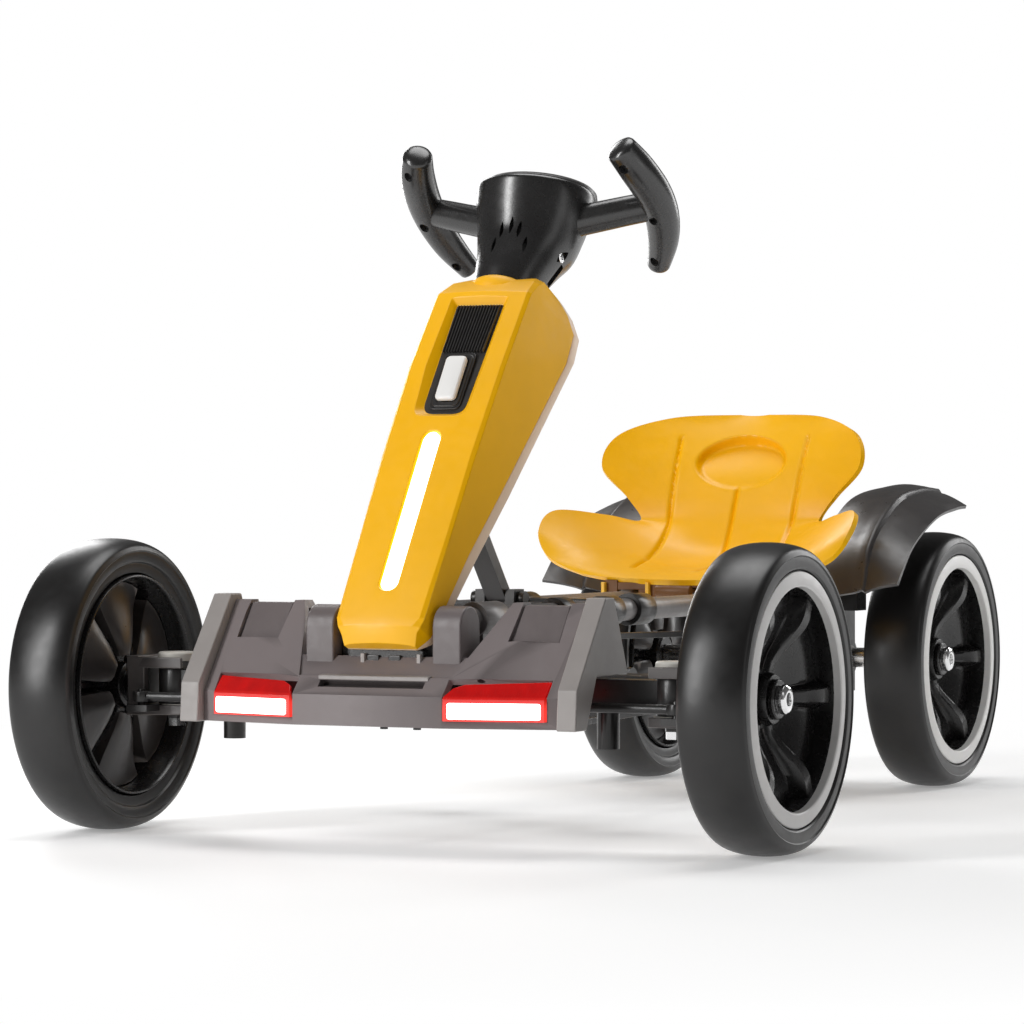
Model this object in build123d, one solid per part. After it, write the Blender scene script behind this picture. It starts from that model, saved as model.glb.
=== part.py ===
from build123d import *
import os
from math import atan2, cos, pi, radians, sin

# Pedal go kart. Millimetres. The front of the kart faces -Y, its left side is +X and Z is up.
# The origin is on the ground, under the middle of the wheelbase.

os.makedirs("parts", exist_ok=True)

# --- driving dimensions ---
WHEEL_R = 115.0            # tyre radius, all four wheels
WHEEL_W = 55.0             # tyre width
WHEELBASE = 735.0          # front axle to rear axle
FRONT_TRACK = 560.0        # between the middles of the front tyres
REAR_TRACK = 284.0         # between the middles of the rear tyres
TUBE_R = 9.0               # frame tubes
TUBE_X = 51.0              # frame tube to the centre plane
TUBE_Z = 171.0             # frame tube centre above the ground
STEER_TILT = 54.5          # steering shaft above the horizontal, degrees
COLUMN_TILT = 55.1         # front face of the column above the horizontal, degrees
CRANK_R = 58.0             # crank throw
GAP = 0.4                  # clearance between parts that move past each other
FIT = 0.05                 # radial clearance of a running fit

# --- places worked out from them ---
FRONT_Y = -WHEELBASE / 2
REAR_Y = WHEELBASE / 2
AXLE_Z = WHEEL_R
FRONT_X = FRONT_TRACK / 2
REAR_X = REAR_TRACK / 2
KINGPIN = (212.0, FRONT_Y - 13.0)          # kingpin axis, x and y
STEER_ARM = 30.0                           # kingpin to tie rod stud
PITMAN_X = 14.0                            # pitman stud to the centre plane
STUD = (KINGPIN[0] + PITMAN_X, KINGPIN[1] - STEER_ARM)   # equal arms make the linkage a parallelogram
TIE_Z = 108.0                              # tie rod centre height
CRANK_Y = -150.0
CRANK_Z = AXLE_Z
PEDAL_X = (78.0, 138.0)                    # inner and outer end of a pedal
NECK = (0.0, -224.0, 434.0)                # steering shaft at the top of the column
COLUMN_FOOT = (0.0, -440.7, 175.7)         # lower end of the column's front face
BUMPER_X = 150.0                           # half width of the bumper between its end ribs

SIDES = (("left", 1), ("right", -1))


def save(name, shape):
    export_step(shape, f"parts/{name}.step")


def at(x, y, z):
    return Pos(x, y, z)


def box(x, y, z):
    """A box between two corners, each argument a (low, high) pair."""
    lengths = [hi - lo for lo, hi in (x, y, z)]
    centre = [(hi + lo) / 2 for lo, hi in (x, y, z)]
    return Pos(*centre) * Box(*lengths)


def rod_x(r, x0, x1, y, z):
    """A round bar along X."""
    return Pos((x0 + x1) / 2, y, z) * Rot(0, 90, 0) * Cylinder(r, abs(x1 - x0))


def rod_y(r, y0, y1, x, z):
    return Pos(x, (y0 + y1) / 2, z) * Rot(90, 0, 0) * Cylinder(r, abs(y1 - y0))


def rod_z(r, z0, z1, x, y):
    return Pos(x, y, (z0 + z1) / 2) * Cylinder(r, z1 - z0)


def mirrored(side, shape):
    """Shapes are drawn for the left side, +X, and mirrored for the right."""
    return shape if side > 0 else mirror(shape, about=Plane.YZ)


def plate_yz(points, x0, x1):
    """A flat plate standing in YZ, between x0 and x1."""
    face = Plane.YZ * make_face(Polyline(*[Vector(y, z) for y, z in points], close=True))
    return Pos(x0, 0, 0) * extrude(face, x1 - x0)


# --- wheels: drawn about X at the origin, outer side towards +X ---
HUB_R = 18.0
HUB_OUT = 6.0                # outer end of a hub, from the middle of the wheel
AXLE_R = 6.0
AXLE_OUT = HUB_OUT + 8       # outer end of an axle, inside its nut
BEAD_R = 87.0


def tyre():
    half = WHEEL_W / 2
    edge = Polyline((-half + 5, BEAD_R), (-half + 1, 94), (-half, 103))
    crown = Spline((-half, 103), (-half + 5.5, 110.5), (0, WHEEL_R), (half - 5.5, 110.5), (half, 103))
    other = Polyline((half, 103), (half - 1, 94), (half - 5, BEAD_R), (-half + 5, BEAD_R))
    return revolve(make_face([edge, crown, other]), axis=Axis.X)


def rim(bore):
    half = WHEEL_W / 2 - 5
    barrel = revolve(make_face(Polyline((-half, BEAD_R), (-half, BEAD_R - 5), (half, BEAD_R - 5),
                                        (half, BEAD_R), close=True)), axis=Axis.X)
    wheel = barrel + rod_x(HUB_R, -half + 2, HUB_OUT, 0, 0)
    for k in range(6):
        spoke = Pos(2, 0, (HUB_R + BEAD_R - 4) / 2) * Box(14, 15, BEAD_R - HUB_R - 2)
        wheel += Rot(60 * k, 0, 0) * spoke
    return wheel - rod_x(bore, -60, 60, 0, 0)


def hub_nut(x0):
    """Black collar and domed hexagon nut on the axle end, starting at x0."""
    collar = rod_x(15, x0, x0 + 4, 0, 0)
    nut = Pos(x0 + 4, 0, 0) * Rot(0, 90, 0) * extrude(RegularPolygon(12.5, 6), 6.5)
    return collar + nut - rod_x(AXLE_R, x0 - 1, x0 + 9, 0, 0)


def both(shape):
    """The left-hand shape and its mirror image, as one group of two solids."""
    solids = shape.solids() + mirrored(-1, shape).solids()
    return Compound([Solid(solid.wrapped) for solid in solids])


def wheels():
    bore = AXLE_R + FIT
    front = at(FRONT_X, FRONT_Y, AXLE_Z)
    rear = at(REAR_X, REAR_Y, AXLE_Z)
    for name, side in SIDES:
        save(f"front_tyre_{name}", mirrored(side, front * tyre()))
        save(f"front_rim_{name}", mirrored(side, front * rim(bore)))
        save(f"front_hub_nut_{name}", mirrored(side, front * hub_nut(HUB_OUT + GAP)))
        save(f"rear_rim_{name}", mirrored(side, rear * rim(AXLE_R)))
    save("rear_tyres", both(rear * tyre()))
    save("rear_hub_nuts", both(rear * hub_nut(HUB_OUT)))


# --- front axle: a square beam with a kingpin boss at each end, and the knuckles on it ---
BEAM_Z = (108.0, 128.0)
BOSS_R = 14.0
BOSS_Z = (102.0, 129.0)
KINGPIN_R = 5.0


def front_beam():
    x, y = KINGPIN
    beam = box((-x + 6, x - 6), (y - 10, y + 10), BEAM_Z)
    for side in (1, -1):
        beam += rod_z(BOSS_R, *BOSS_Z, side * x, y)
        beam += rod_z(8.5, 76, BEAM_Z[0] + 2, side * 159, y - 2)
    for side in (1, -1):
        beam -= rod_z(KINGPIN_R, 90, 150, side * x, y)
    save("front_beam", beam - rod_z(PITMAN_R + FIT, 90, 150, 0, y))


def knuckle():
    """A C-shaped bracket that turns on the kingpin, with the stub axle and the steering arm."""
    x, y = KINGPIN
    low = (BOSS_Z[0] - GAP - 5, BOSS_Z[0] - GAP)
    high = (BOSS_Z[1] + GAP, BOSS_Z[1] + GAP + 5)
    web_x = (x + BOSS_R + 4, x + BOSS_R + 14)
    shape = box((x - 11, web_x[1]), (y - 12, y + 20), low)
    shape += box((x - 11, web_x[1]), (y - 12, y + 20), high)
    shape += box(web_x, (y - 12, y + 30), (low[0], high[1]))
    shape += box((STUD[0] - 9, STUD[0] + 9), (STUD[1] - 8, y), low)
    shape += rod_x(AXLE_R, web_x[1] - 2, FRONT_X + AXLE_OUT, FRONT_Y, AXLE_Z)
    shape += rod_x(10, web_x[1] - 1, FRONT_X - WHEEL_W / 2 + 6, FRONT_Y, AXLE_Z)
    shape += rod_z(3, low[1] - 1, TIE_Z + 6, *STUD)
    return shape - rod_z(KINGPIN_R + FIT, 60, 160, x, y)


def kingpin():
    x, y = KINGPIN
    shaft = rod_z(KINGPIN_R, BOSS_Z[0] - 12, BOSS_Z[1] + 9, x, y)
    head = rod_z(BOSS_R, BOSS_Z[1] + 2 * GAP + 5, BOSS_Z[1] + 2 * GAP + 11.5, x, y)
    foot = at(x, y, BOSS_Z[0] - 2 * GAP - 11) * extrude(RegularPolygon(8, 6), 6)
    return shaft + head + foot


PITMAN_R = 6.0


def tie_rod():
    """A round rod with an eye at each end; the outer eye hangs on the steering arm's stud."""
    x0, x1 = PITMAN_X, STUD[0]
    bar = rod_x(3.6, x0 + 5, x1 - 5, STUD[1], TIE_Z)
    for x in (x0, x1):
        bar += rod_z(7, TIE_Z - 4, TIE_Z + 4, x, STUD[1])
    for x in (x0, x1):
        bar -= rod_z(3 + GAP, TIE_Z - 9, TIE_Z + 9, x, STUD[1])
    return bar


def pitman_arm():
    """The steering shaft's lower crank: a flat arm with two studs, and the yoke above it."""
    y = KINGPIN[1]
    top = BOSS_Z[0] - GAP
    arm = box((-22, 22), (STUD[1] - 8, STUD[1] + 10), (top - 5, top))
    arm += box((-10, 10), (STUD[1], y + 10), (top - 5, top))
    arm += rod_z(PITMAN_R, top - 1, 146, 0, y)
    for side in (1, -1):
        arm += rod_z(3, 88, TIE_Z + 6, side * PITMAN_X, STUD[1])
    return arm


def steering_linkage():
    for name, side in SIDES:
        save(f"knuckle_{name}", mirrored(side, knuckle()))
        save(f"tie_rod_{name}", mirrored(side, tie_rod()))
    save("pitman_arm", pitman_arm())


# --- frame: two long tubes, joined by the front cross-piece, strut rail, seat cross-piece and rear bar ---
TUBE_Y = (-398.0, 384.0)
RAIL_Y = -240.0
MID_Y = -92.0
REAR_BAR_Y = 302.0
REAR_BAR_X = 98.0


def frame_tubes():
    for name, side in SIDES:
        tube = rod_y(TUBE_R, *TUBE_Y, side * TUBE_X, TUBE_Z)
        bore = rod_y(TUBE_R - 1.5, TUBE_Y[0] - 1, TUBE_Y[1] + 1, side * TUBE_X, TUBE_Z)
        save(f"frame_tube_{name}", tube - bore)


def clamped_bar(y, half_x, half_y, z):
    """A bar across both tubes, with a round seat for each."""
    bar = box((-half_x, half_x), (y - half_y, y + half_y), z)
    for side in (1, -1):
        bar += rod_y(TUBE_R + 4, y - half_y - 4, y + half_y + 4, side * TUBE_X, TUBE_Z)
    for side in (1, -1):
        bar -= rod_y(TUBE_R, y - 80, y + 80, side * TUBE_X, TUBE_Z)
    return bar


def cross_pieces():
    front = clamped_bar(-372, 58, 16, (150, 170))
    for side in (1, -1):
        front += box((side * 30 - 12, side * 30 + 12), (-388, -372), (BEAM_Z[1], 152))
    save("front_cross_piece", front)
    rail = clamped_bar(RAIL_Y, 50, 7, (166, 180))
    for side in (1, -1):
        rail += box((side * 13 - 4, side * 13 + 4), (RAIL_Y - 9, RAIL_Y + 9), (170, 190))
    save("strut_rail", rail - strut_pin() - strut())
    save("column_strut", strut())
    save("frame_bolts", Compound(both(kingpin()).solids() + strut_pin().solids()))
    save("mid_cross_piece", clamped_bar(MID_Y, 54, 12, (163, 179)))
    rear = clamped_bar(REAR_BAR_Y, REAR_BAR_X, 11, (160, 178))
    save("rear_bar", rear)


def strut_pin():
    pin = rod_x(3, -20, 20, RAIL_Y, 183)
    return pin + rod_x(5.5, -23, -17, RAIL_Y, 183) + rod_x(5.5, 17, 23, RAIL_Y, 183)


def strut():
    """The column's brace: a flat bar from the rail up to the back of the column."""
    foot = Vector(0, RAIL_Y + 4, 178)
    head = Vector(0, -312, 267)
    run = head - foot
    bar = Pos(*((foot + head) / 2)) * Rot(-atan2(run.Z, -run.Y) * 180 / pi, 0, 0) * Box(17, run.length, 11)
    return bar - column_frame(column_body(0, 0)) - strut_pin()


# --- bumper: the sloping front tray between two end ribs ---
def lamp_lens():
    return plate_yz([(-469, 99), (-469, 116.5), (-452, 134), (-449, 131), (-466.2, 113.5), (-466.2, 99)], 64, 138)


def column_ear():
    """A round-topped post beside the foot of the column."""
    post = box((41, 65), (-440, -407), (131, 166)) + rod_x(16.5, 41, 65, -423.5, 165.5)
    return post


def bumper():
    outline = [(-466, 93), (-466, 116), (-400, 184), (-386, 184), (-366, 131), (-374, 131), (-392, 172),
               (-398, 172), (-452, 114), (-452, 93)]
    tray = plate_yz(outline, -BUMPER_X, BUMPER_X)
    tray -= box((-66, 66), (-480, -300), (131, 220))
    tray += box((-66, 66), (-447, -404), (126, 131))
    save("bumper_tray", tray - both(lamp_lens()))
    rib = plate_yz([(-455, 93), (-451, 124), (-401, 188), (-386, 176), (-362, 131), (-420, 131), (-432, 93)],
                   BUMPER_X, BUMPER_X + 16)
    pad = plate_yz([(-418, 165.5), (-400, 184), (-386, 184), (-386, 187), (-401, 187), (-420, 167.6)], 98, 134)
    save("bumper_ribs", both(rib))
    save("foot_pads", both(pad))
    save("column_ears", both(column_ear()))
    save("lamp_lenses", both(lamp_lens()))
    save("lamp_bars", both(box((70, 134), (-471.5, -469), (101, 108))))


# --- column: two half shells in a leaning frame, s along the front face and d behind it ---
def column_frame(shape):
    return Pos(*COLUMN_FOOT) * Rot(COLUMN_TILT - 90, 0, 0) * shape


# Sections up the column: s, then (half width, depth behind the front face) of the front, side and back edges.
COLUMN_SECTIONS = [
    (-14, (22, 6), (26, 9), (24, 17)),
    (2, (30, 0), (34, 4), (36, 22)),
    (70, (31.5, -4), (41, 4), (42, 36)),
    (140, (32.5, -7), (45, 3), (45, 50)),
    (225, (37, -6), (46, 4), (46.5, 68)),
    (302, (38, 0), (44, 6), (46, 83)),
    (321, (36, 14), (42, 20), (45, 88)),
    (336, (30, 27), (37, 33), (37, 64)),
]


def column_body(wall, back):
    """The filled column, every face moved in by wall and the back face by back as well."""
    sections = []
    for s, front, side, rear in COLUMN_SECTIONS:
        s = min(max(s, COLUMN_SECTIONS[0][0] + wall), COLUMN_SECTIONS[-1][0] - wall)
        right = [(front[0] - wall, front[1] + wall), (side[0] - wall, side[1] + wall / 2),
                 (rear[0] - wall, rear[1] - wall - back)]
        points = right + [(-x, d) for x, d in reversed(right)]
        sections.append(Pos(0, 0, s) * make_face(Polyline(*points, close=True)))
    return loft(sections, ruled=True)


LIGHT_S = (20.0, 166.0)
PANEL_S = (186.0, 288.0)
BUTTON_S = (197.0, 238.0)


def column():
    shaft_room = steer_frame(Cylinder(20.5, 40) + Pos(0, 0, -160) * Cylinder(SHAFT_R + 2, 300))
    hollow = column_body(3, 0)
    front = column_body(0, 7)
    rear = column_body(0, 0) - front
    light = box((-7, 7), (-8, 6), LIGHT_S)
    panel = box((-20, 20), (-8.5, -3), PANEL_S)
    pocket = box((-9, 9), (-14, 8), (BUTTON_S[0] - 1, BUTTON_S[1] + 1))
    button = box((-8, 8), (-12, -2), BUTTON_S)
    save("column_front_cover", column_frame(front - hollow - light - panel - pocket) - shaft_room)
    save("column_rear_cover", column_frame(rear - hollow) - shaft_room)
    save("column_light", column_frame(light))
    save("vent_panel", column_frame(panel - pocket))
    save("power_button", column_frame(button))
    base = box((-20, 20), (-436, -412), (131, 146)) - rod_x(3, -30, 30, -424, 138)
    save("column_base", base)


# --- steering: shaft, bell-shaped module, spokes and grips, in a frame along the shaft ---
def steer_frame(shape):
    return Pos(*NECK) * Rot(STEER_TILT - 90, 0, 0) * shape


SHAFT_R = 8.0


def bell():
    """The steering module's casing: round sections that lean less and less towards the top."""
    sections = [(0, -224, 436, 26, 56), (0, -214, 453, 31, 60), (0, -194, 478, 41, 66), (0, -178, 502, 48, 72)]
    rings = [Plane(origin=(x, y, z), z_dir=(0, cos(radians(a)), sin(radians(a)))) * Circle(r)
             for x, y, z, r, a in sections]
    return loft(rings)


def steering():
    shaft = steer_frame(Pos(0, 0, -138) * Cylinder(SHAFT_R, 276))
    bush = Cylinder(20.5, 10) - Cylinder(SHAFT_R + FIT, 12)
    save("steering_shaft", shaft - bell())
    save("neck_bush", steer_frame(Pos(0, 0, -12) * bush))
    save("steering_module", bell())
    top = Plane(origin=(0, -178, 502), z_dir=(0, cos(radians(72)), sin(radians(72))))
    save("module_cap", loft([top * Circle(48), top.offset(6) * Circle(46), top.offset(9) * Circle(40)]))


GRIP_PATH = [(90, -206, 536), (97, -192, 522), (102, -172, 505), (102, -154, 488), (96, -137, 470), (84, -123, 454)]
GRIP_R = 10.5
SPOKE_R = 8.5
THUMB = Vector(0, 0.72, 0.69)              # the way the grip buttons face


def grips():
    path = Spline(*GRIP_PATH)
    grip = sweep(Plane(origin=path @ 0, z_dir=path % 0) * Circle(GRIP_R), path=path)
    grip += Pos(*GRIP_PATH[0]) * Sphere(GRIP_R) + Pos(*GRIP_PATH[-1]) * Sphere(GRIP_R)
    root = Vector(34, -178, 489)
    tip = Vector(*GRIP_PATH[3])
    spoke = Solid.make_cylinder(SPOKE_R, (tip - root).length, Plane(origin=root, z_dir=tip - root))
    seat_point = Vector(*GRIP_PATH[1])
    hole = Solid.make_cylinder(5 + GAP, 12, Plane(origin=seat_point + THUMB * 5, z_dir=THUMB))
    button = Solid.make_cylinder(5, 7, Plane(origin=seat_point + THUMB * 6.5, z_dir=THUMB))
    for name, side in SIDES:
        save(f"grip_button_{name}", mirrored(side, button))
    save("grips", both(grip - hole))
    save("grip_spokes", both(spoke - grip - bell()))


# --- rear axle: two carriers under the tube ends, bushes, axle and driven sprocket ---
CARRIER_Z = (84.0, 161.0)
BUSH_R = 11.0


def axle_bush(y, half):
    """A plain bush for an axle, in a wall of the left-hand side."""
    shape = rod_x(BUSH_R, TUBE_X - half, TUBE_X + half, y, AXLE_Z)
    return both(shape - rod_x(AXLE_R + FIT, TUBE_X - half - 1, TUBE_X + half + 1, y, AXLE_Z))


def rear_axle():
    carrier = box((TUBE_X - 9, TUBE_X + 9), (REAR_Y - 16, REAR_Y + 16), CARRIER_Z)
    carrier += rod_x(17, TUBE_X - 11, TUBE_X + 11, REAR_Y, AXLE_Z)
    carrier += rod_y(TUBE_R + 4, REAR_Y - 16, REAR_Y + 20, TUBE_X, TUBE_Z)
    carrier -= rod_y(TUBE_R, REAR_Y - 80, TUBE_Y[1], TUBE_X, TUBE_Z)
    carrier -= rod_x(BUSH_R, TUBE_X - 12, TUBE_X + 12, REAR_Y, AXLE_Z)
    save("axle_carriers", both(carrier))
    reach = REAR_X + AXLE_OUT
    axle = rod_x(AXLE_R, -reach, reach, REAR_Y, AXLE_Z)
    for side in (1, -1):
        axle += rod_x(9, side * (TUBE_X + 13), side * (REAR_X - 20.5), REAR_Y, AXLE_Z)
    save("rear_axle", axle)


# --- drive: crank, pedals, sprockets and chain ---
PITCH = 8.0
CRANK_TEETH = 24
AXLE_TEETH = 16
CHAIN_X = (22.0, 29.0)
SPROCKET_X = (24.0, 27.0)
ARM_X = (67.0, 75.0)
PEDAL_PIN_R = 4.0


def pitch_radius(teeth):
    return PITCH / (2 * sin(radians(180 / teeth)))


def sprocket(teeth, y, bore):
    """A plain toothed disc about X."""
    root = pitch_radius(teeth) - 2.2
    disc = rod_x(root, *SPROCKET_X, 0, 0)
    for k in range(teeth):
        disc += Rot(360 * k / teeth, 0, 0) * box(SPROCKET_X, (-1.3, 1.3), (root - 1, root + 3.2))
    disc += rod_x(bore + 5, SPROCKET_X[0] - 4, SPROCKET_X[1] + 4, 0, 0)
    return at(0, y, AXLE_Z) * (disc - rod_x(bore, -60, 60, 0, 0))


def chain_loop(extra, x):
    """The filled outline round both sprockets, extra beyond the tips of their teeth."""
    wheels_yz = [(CRANK_Y, pitch_radius(CRANK_TEETH) + 1 + extra), (REAR_Y, pitch_radius(AXLE_TEETH) + 1 + extra)]
    edges = [Pos(y, AXLE_Z, 0) * Edge.make_circle(r) for y, r in wheels_yz]
    return Pos(x[0], 0, 0) * extrude(Plane.YZ * make_hull(edges), x[1] - x[0])


def crank():
    axle = rod_x(AXLE_R, -ARM_X[1], ARM_X[1], CRANK_Y, CRANK_Z)
    arm = box(ARM_X, (CRANK_Y - CRANK_R, CRANK_Y), (CRANK_Z - 8, CRANK_Z + 8))
    arm += rod_x(11, *ARM_X, CRANK_Y, CRANK_Z) + rod_x(8, *ARM_X, CRANK_Y - CRANK_R, CRANK_Z)
    pin = rod_x(PEDAL_PIN_R, ARM_X[1] - 1, PEDAL_X[1] + 2, CRANK_Y - CRANK_R, CRANK_Z)
    pin += rod_x(6.5, PEDAL_X[1] + GAP, PEDAL_X[1] + 4, CRANK_Y - CRANK_R, CRANK_Z)
    turn = Pos(0, CRANK_Y, CRANK_Z) * Rot(180, 0, 0) * Pos(0, -CRANK_Y, -CRANK_Z)
    left = (arm + pin) - rod_x(AXLE_R, 0, 90, CRANK_Y, CRANK_Z)
    save("crank_axle", axle)
    right = turn * mirror(left, about=Plane.YZ)
    save("crank_arms", Compound(left.solids() + right.solids()))
    y = CRANK_Y - CRANK_R
    pedal = box(PEDAL_X, (y - 24, y + 24), (CRANK_Z - 8, CRANK_Z + 8))
    for x0, x1 in ((PEDAL_X[0] + 8, PEDAL_X[0] + 26), (PEDAL_X[1] - 26, PEDAL_X[1] - 8)):
        for lo, hi in ((y - 18, y - 9), (y + 9, y + 18)):
            pedal -= box((x0, x1), (lo, hi), (CRANK_Z - 20, CRANK_Z + 20))
    pedal -= rod_x(PEDAL_PIN_R + FIT, 0, 200, y, CRANK_Z)
    save("pedal_left", pedal)
    save("pedal_right", turn * mirror(pedal, about=Plane.YZ))
    hanger = box((TUBE_X - 5, TUBE_X + 5), (CRANK_Y - 15, CRANK_Y + 15), (CRANK_Z - 15, TUBE_Z - 4))
    hanger += rod_y(TUBE_R + 3, CRANK_Y - 15, CRANK_Y + 15, TUBE_X, TUBE_Z)
    hanger -= rod_y(TUBE_R, CRANK_Y - 80, CRANK_Y + 80, TUBE_X, TUBE_Z)
    hanger -= rod_x(BUSH_R, 0, 90, CRANK_Y, CRANK_Z)
    save("crank_hangers", both(hanger))
    save("axle_bushes", Compound(axle_bush(CRANK_Y, 7).solids() + axle_bush(REAR_Y, 12).solids()))
    save("crank_sprocket", sprocket(CRANK_TEETH, CRANK_Y, AXLE_R))
    save("axle_sprocket", sprocket(AXLE_TEETH, REAR_Y, AXLE_R))
    save("drive_chain", chain_loop(5 + GAP, CHAIN_X) - chain_loop(GAP, (CHAIN_X[0] - 1, CHAIN_X[1] + 1)))


# --- seat: a cupped shell on a base that slides on the frame tubes ---
SEAT_SWEEP = Vector(0, 4.2, -5.6)          # from the rider's face of the shell to its underside
SEAT_MIDDLE = [(118, 190), (134, 195), (160, 198), (188, 201), (214, 213), (230, 236), (243, 262), (257, 292),
               (272, 313), (287, 330)]
SEAT_EDGE = [(98, 124, 194), (134, 132, 210), (147, 142, 233), (142, 166, 250), (110, 205, 246), (86, 227, 241),
             (100, 232, 262), (126, 233, 288), (108, 252, 314), (74, 280, 327)]


def seat_point(k, u):
    """A point of the shell: station k from the front lip to the top of the back, u across it, -1 to 1."""
    (y0, z0), (x1, y1, z1) = SEAT_MIDDLE[k], SEAT_EDGE[k]
    return Vector(x1 * u, y0 + (y1 - y0) * u * u, z0 + (z1 - z0) * u * u)


def seat():
    rows = [[seat_point(k, u / 4) for u in range(-4, 5)] for k in range(len(SEAT_MIDDLE))]
    sheet = Face.make_surface_from_array_of_points(rows, smoothing=None, min_deg=2, max_deg=3, tol=0.5)
    save("seat_shell", Solid.extrude(sheet, SEAT_SWEEP))
    base = box((-62, 62), (140, 212), (183, 188.5))
    for x in (-41, 0, 41):
        base -= box((x - 17, x + 17), (144, 208), (180, 187))
    save("seat_base", base)
    slide = box((-66, 66), (140, 204), (TUBE_Z + 6, 183))
    for side in (1, -1):
        slide += box((side * TUBE_X - 15, side * TUBE_X + 15), (140, 204), (TUBE_Z - 12, TUBE_Z + 8))
    for side in (1, -1):
        slide -= rod_y(TUBE_R + GAP, 100, 240, side * TUBE_X, TUBE_Z)
    save("seat_slide", slide)
    save("seat_lever", box((-12, 12), (104, 140), (TUBE_Z + 8, TUBE_Z + 11)) + rod_x(5, -16, 16, 104, TUBE_Z + 9.5))


def fenders():
    inner = [(100, 250, 168), (100, 270, 214), (100, 322, 262), (100, 400, 272)]
    outer = [(170, 252, 182), (170, 290, 222), (170, 366, 243), (170, 444, 246)]
    rows = [[Vector(*a) + (Vector(*b) - Vector(*a)) * (u / 3) for u in range(4)] for a, b in zip(inner, outer)]
    sheet = Face.make_surface_from_array_of_points(rows, smoothing=None, min_deg=2, max_deg=3, tol=0.5)
    save("fenders", both(Solid.thicken(sheet, 3)))


if __name__ == "__main__":
    wheels()
    front_beam()
    steering_linkage()
    frame_tubes()
    cross_pieces()
    strut()
    bumper()
    column()
    steering()
    grips()
    rear_axle()
    crank()
    seat()
    fenders()
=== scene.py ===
"""The finished look of a small four-wheeled kart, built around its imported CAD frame.

The frame's axes: +X is the kart's left, -Y is its front and +Z is up. Shapes are written in millimetres.
"""
import math

import bmesh
import bpy
from mathutils import Matrix, Vector


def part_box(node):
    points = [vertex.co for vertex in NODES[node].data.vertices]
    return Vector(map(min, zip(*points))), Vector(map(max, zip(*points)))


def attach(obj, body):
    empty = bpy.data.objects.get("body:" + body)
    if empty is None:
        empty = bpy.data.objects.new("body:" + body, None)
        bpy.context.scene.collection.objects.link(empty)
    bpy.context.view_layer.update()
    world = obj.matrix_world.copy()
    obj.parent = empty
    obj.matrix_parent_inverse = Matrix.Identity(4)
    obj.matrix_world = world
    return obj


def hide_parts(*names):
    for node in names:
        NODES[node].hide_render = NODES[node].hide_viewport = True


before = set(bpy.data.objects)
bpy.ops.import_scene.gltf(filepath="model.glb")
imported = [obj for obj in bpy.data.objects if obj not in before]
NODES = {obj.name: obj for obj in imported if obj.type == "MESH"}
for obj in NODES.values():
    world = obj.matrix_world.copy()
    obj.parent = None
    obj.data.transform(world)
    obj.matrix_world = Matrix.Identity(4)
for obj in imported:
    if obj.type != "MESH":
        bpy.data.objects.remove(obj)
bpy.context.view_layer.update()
MM = 0.001
WELD = 2e-6                # points closer than this, in metres, become one
SIDES = (("left", 1), ("right", -1))


# --- mesh helpers: points are in millimetres until a piece is made ---
def curve(points, per=8):
    """Points along a smooth curve through the given ones, which may have any number of values each."""
    last = len(points) - 1
    out = []
    for i in range(last):
        a, b, c, d = (points[min(max(k, 0), last)] for k in (i - 1, i, i + 1, i + 2))
        for j in range(per):
            t = j / per
            out.append(tuple(0.5 * (2 * q + (r - p) * t + (2 * p - 5 * q + 4 * r - s) * t * t
                                    + (3 * q - p - 3 * r + s) * t ** 3) for p, q, r, s in zip(a, b, c, d)))
    out.append(tuple(float(v) for v in points[last]))
    return out


def smooth(t):
    """0 to 1 with no corner at either end."""
    t = min(max(t, 0.0), 1.0)
    return t * t * (3 - 2 * t)


def strip(bm, a, b, around=True):
    """Faces between two rows of vertices. The rows close on themselves when around is true."""
    count = len(a)
    for k in range(count if around else count - 1):
        m = (k + 1) % count
        bm.faces.new((a[k], a[m], b[m], b[k]))


def loft(bm, rings, around=True, caps=True):
    """Faces between rings of points, and over the first and last ring when caps is true."""
    rows = [[bm.verts.new(Vector(p)) for p in ring] for ring in rings]
    for a, b in zip(rows, rows[1:]):
        strip(bm, a, b, around)
    if caps:
        bm.faces.new(rows[0][::-1])
        bm.faces.new(rows[-1])
    return rows


def lathe(bm, profile, centre=(0, 0, 0), axis=(1, 0, 0), steps=128):
    """Turns a closed profile of (along, radius) pairs about an axis through the centre."""
    axis, centre = Vector(axis).normalized(), Vector(centre)
    u = axis.cross(Vector((0, 0, 1)) if abs(axis.z) < 0.9 else Vector((0, 1, 0))).normalized()
    v = axis.cross(u)
    rings = []
    for k in range(steps):
        a = 2 * math.pi * k / steps
        out = u * math.cos(a) + v * math.sin(a)
        rings.append([centre + axis * x + out * r for x, r in profile])
    rows = loft(bm, rings, caps=False)
    strip(bm, rows[-1], rows[0])


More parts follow.
